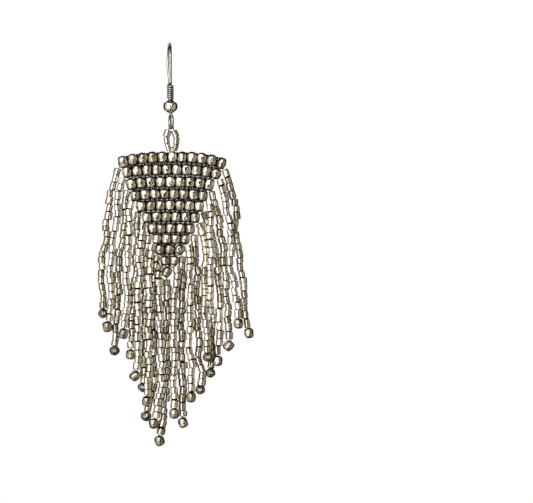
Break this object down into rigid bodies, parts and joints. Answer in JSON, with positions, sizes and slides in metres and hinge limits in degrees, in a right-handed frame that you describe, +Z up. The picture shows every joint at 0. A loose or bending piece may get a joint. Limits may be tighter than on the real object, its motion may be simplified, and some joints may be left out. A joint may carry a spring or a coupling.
{
  "type": "beaded fringe earring",
  "caption": "Drop earring: ear wire with coil and ball, a triangular brick-stitch panel of metal-finish beads and a long fringe of small glass beads with a metal-finish bead at each end.",
  "frame": {"origin": "inside top of the ear wire's bend, where it hangs in the ear", "axes": "+Z up, +X to the right seen from the front, -Y the front, which faces the viewer"},
  "size_m": [0.0342, 0.0117, 0.0893],
  "materials": {
    "polished_wire": "polished",
    "metal_bead": "satin",
    "lined_glass": "gloss",
    "thread": "matt"
  },
  "bodies": {
    "ear_wire": {"ear_hook": "polished_wire", "wire_coil": "polished_wire", "ball_bead": "polished_wire"},
    "drop": {"hanger_beads": "metal_bead", "hanger_thread": "thread", "panel_thread": "thread", "panel_row_01": "metal_bead", "panel_row_02": "metal_bead", "panel_row_03": "metal_bead", "panel_row_04": "metal_bead", "panel_row_05": "metal_bead", "panel_row_06": "metal_bead", "panel_row_07": "metal_bead", "panel_row_08": "metal_bead", "panel_row_09": "metal_bead", "panel_row_10": "metal_bead", "tip_bead": "metal_bead", "left_strand_01": "lined_glass", "left_strand_02": "lined_glass", "left_strand_03": "lined_glass", "left_strand_04": "lined_glass", "left_strand_05": "lined_glass", "left_strand_06": "lined_glass", "left_strand_07": "lined_glass", "left_strand_08": "lined_glass", "left_strand_09": "lined_glass", "left_strand_10": "lined_glass", "right_strand_01": "lined_glass", "right_strand_02": "lined_glass", "right_strand_03": "lined_glass", "right_strand_04": "lined_glass", "right_strand_05": "lined_glass", "right_strand_06": "lined_glass", "right_strand_07": "lined_glass", "right_strand_08": "lined_glass", "right_strand_09": "lined_glass", "right_strand_10": "lined_glass", "tip_strand": "lined_glass", "left_end_01": "metal_bead", "left_end_02": "metal_bead", "left_end_03": "metal_bead", "left_end_04": "metal_bead", "left_end_05": "metal_bead", "left_end_06": "metal_bead", "left_end_07": "metal_bead", "left_end_08": "metal_bead", "left_end_09": "metal_bead", "left_end_10": "metal_bead", "right_end_01": "metal_bead", "right_end_02": "metal_bead", "right_end_03": "metal_bead", "right_end_04": "metal_bead", "right_end_05": "metal_bead", "right_end_06": "metal_bead", "right_end_07": "metal_bead", "right_end_08": "metal_bead", "right_end_09": "metal_bead", "right_end_10": "metal_bead", "tip_end": "metal_bead"}
  },
  "joints": [
    {"name": "drop_swing", "type": "hinge", "parent": "ear_wire", "child": "drop", "pos_m": [0.00035, -0.0042, -0.01851], "axis": [0, 1, 0], "range_deg": [-35, 35]}
  ]
}
